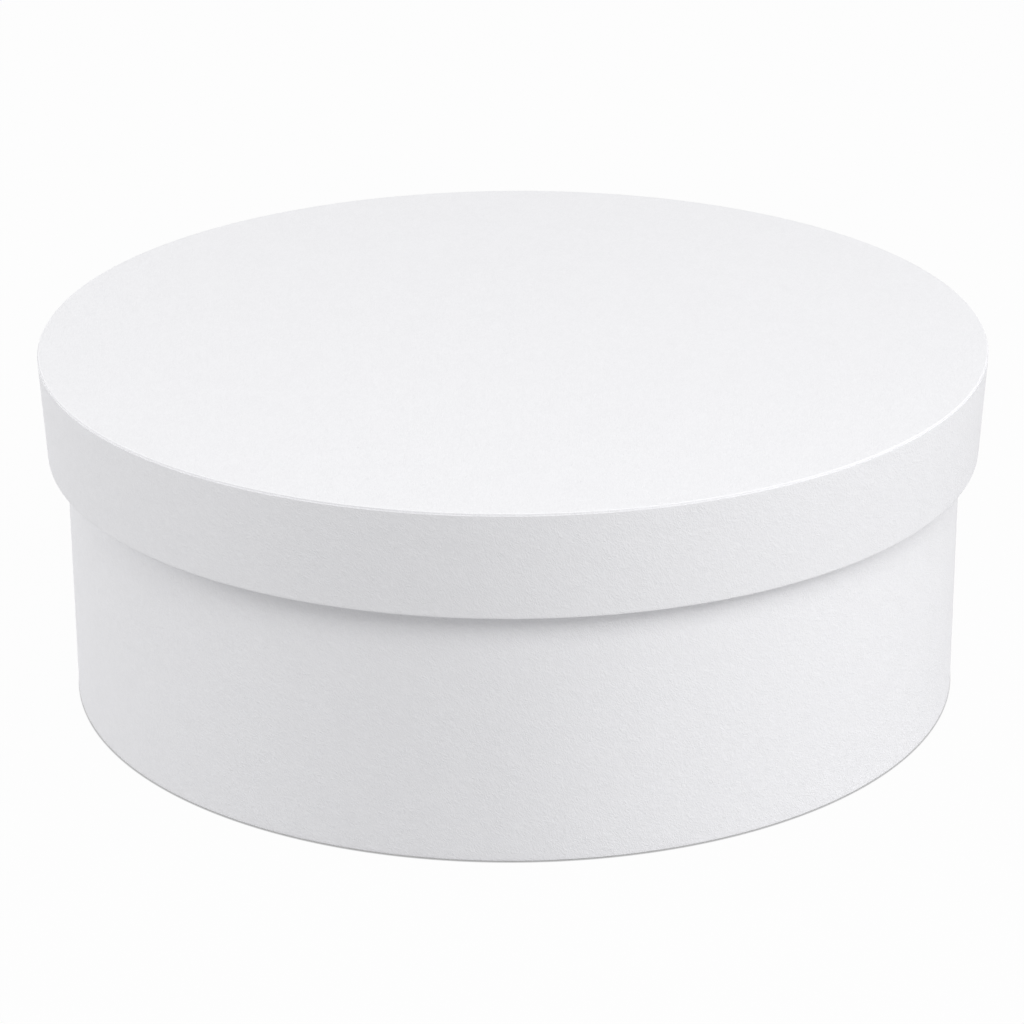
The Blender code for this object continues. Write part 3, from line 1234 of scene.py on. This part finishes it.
@dataclass(frozen=True)
class Softbox:
    """A rectangular lamp that faces the box, its azimuth and elevation in degrees and its power in watts."""

    name: str
    azimuth: float
    elevation: float
    power: float
    distance: float = 1.6
    width: float = 0.8
    height: float = 0.8

    def build(self, target: Vector) -> None:
        """Hang the lamp round a target.

        Args:
            target: The point that it faces.
        """
        data = bpy.data.lights.new(self.name, "AREA")
        data.shape = "RECTANGLE"
        data.size = self.width
        data.size_y = self.height
        data.energy = self.power
        lamp = linked(self.name, data)
        around = math.radians(self.azimuth) - QUARTER_TURN
        above = math.radians(self.elevation)
        away = at_turn(math.cos(above), math.sin(above), around)
        lamp.location = target + away * self.distance
        lamp.rotation_euler = away.to_track_quat("Z", "Y").to_euler()


@dataclass(frozen=True)
class Studio:
    """A plain pale table, a white surround, soft lamps and the camera."""

    camera_distance: float = 0.8243
    camera_height: float = 0.3790
    pitch: float = math.radians(22.44)
    yaw: float = math.radians(-0.027)
    roll: float = math.radians(-0.32)
    focal_length: float = 132.2
    sensor: float = 36.0
    floor_size: float = 12.0
    floor_drop: float = 0.00003
    floor_colour: tuple[float, ...] = opaque(0.45, 0.45, 0.455)
    floor_white_share: float = 0.97
    # A painted contact shadow: the white share inside a ring round the box's foot, the ring's radius and its
    # fade.
    contact_shadow_white_share: float = 0.32
    contact_shadow_reach: float = 0.10455
    contact_shadow_fade: float = 0.0002
    ambient: float = 0.562
    softboxes: tuple[Softbox, ...] = (
        Softbox("front_lamp", azimuth=20.0, elevation=45.5, power=10.1),
        Softbox("right_lamp", azimuth=80.0, elevation=18.0, power=8.3),
        Softbox("left_lamp", azimuth=-97.0, elevation=18.0, power=9.9),
    )

    def camera(self) -> None:
        """Set the camera at the photograph's place."""
        ahead = Vector((
            math.sin(self.yaw) * math.cos(self.pitch),
            math.cos(self.yaw) * math.cos(self.pitch),
            -math.sin(self.pitch),
        ))
        level = Vector((math.cos(self.yaw), -math.sin(self.yaw), 0))
        upright = level.cross(ahead)
        right = level * math.cos(self.roll) + upright * math.sin(self.roll)
        above = upright * math.cos(self.roll) - level * math.sin(self.roll)
        data = bpy.data.cameras.new("camera")
        data.lens = self.focal_length
        data.sensor_width = self.sensor
        made = linked("camera", data)
        place = Matrix.Translation((0, -self.camera_distance, self.camera_height))
        made.matrix_world = place @ Matrix((right, above, -ahead)).transposed().to_4x4()
        bpy.context.scene.camera = made

    def surround(self) -> None:
        """Fill the world with even light, white where the camera or a reflection sees it."""
        world = bpy.data.worlds.new("surround")
        bpy.context.scene.world = world
        graph = Graph(world)
        strength = self.seen_directly(graph) * (1.0 - self.ambient) + self.ambient
        background = graph.node("ShaderNodeBackground", {}, {"Color": WHITE, "Strength": strength})
        graph.node("ShaderNodeOutputWorld", {}, {"Surface": background})

    def seen_directly(self, graph: Graph) -> Wire:
        """Tell rays from the camera, a reflection or a clear body from all others.

        Args:
            graph: The graph that asks.

        Returns:
            1 for those rays, and else 0.
        """
        seen = graph.node("ShaderNodeLightPath", output="Is Camera Ray")
        for name in ("Is Glossy Ray", "Is Transmission Ray"):
            seen = seen.at_least(graph.node("ShaderNodeLightPath", output=name))
        return seen

    def floor(self) -> None:
        """Lay the pale floor, which keeps the box's shadow."""
        shape = bmesh.new()
        bmesh.ops.create_grid(shape, x_segments=1, y_segments=1, size=self.floor_size / 2)
        bmesh.ops.translate(shape, verts=shape.verts, vec=Vector((0, 0, -self.floor_drop)))
        mesh = bpy.data.meshes.new("floor")
        shape.to_mesh(mesh)
        shape.free()
        mesh.materials.append(self.floor_finish())
        made = linked("floor", mesh)

    def floor_finish(self) -> bpy.types.Material:
        """Make the floor's material, which is seen white but for its shadows and a painted contact shadow in
        a ring round the box's foot.

        Returns:
            The material.
        """
        made = bpy.data.materials.new("floor_finish")
        graph = Graph(made)
        lit = graph.node("ShaderNodeBsdfDiffuse", {}, {"Color": self.floor_colour})
        white = graph.node("ShaderNodeEmission", {}, {"Color": WHITE, "Strength": 1.0})
        place = graph.node("ShaderNodeTexCoord", output="Object")
        reach = graph.node("ShaderNodeVectorMath", {"operation": "LENGTH"}, {0: place}, output="Value")
        # Painted contact shadow: within a ring round the box's foot less of the floor is seen white, so more
        # of its darker lit colour, with its real shadow, shows.
        painted_contact_shadow = ((self.contact_shadow_reach - reach) * (1 / self.contact_shadow_fade)).at_least(0.0).at_most(1.0)
        shown = self.floor_white_share - painted_contact_shadow * (self.floor_white_share - self.contact_shadow_white_share)
        share = self.seen_directly(graph) * shown
        surface = graph.node("ShaderNodeMixShader", {}, {0: share, 1: lit, 2: white})
        graph.node("ShaderNodeOutputMaterial", {}, {"Surface": surface})
        return made

    def build(self) -> None:
        """Set up the whole studio."""
        low, high = cad_box
        self.camera()
        self.surround()
        self.floor()
        for softbox in self.softboxes:
            softbox.build((low + high) / 2)
        bpy.context.scene.view_settings.view_transform = "Standard"
        log.info("studio: %d lamps", len(self.softboxes))


def main() -> None:
    """Build the box's two halves and the studio, in order."""
    logging.basicConfig(level=logging.INFO, format="%(name)s: %(message)s")
    stock = Stock.from_frame()
    BaseHalf.from_frame(stock).build()
    LidHalf.from_frame(stock).build()
    Studio().build()


if __name__ == "__main__":
    main()
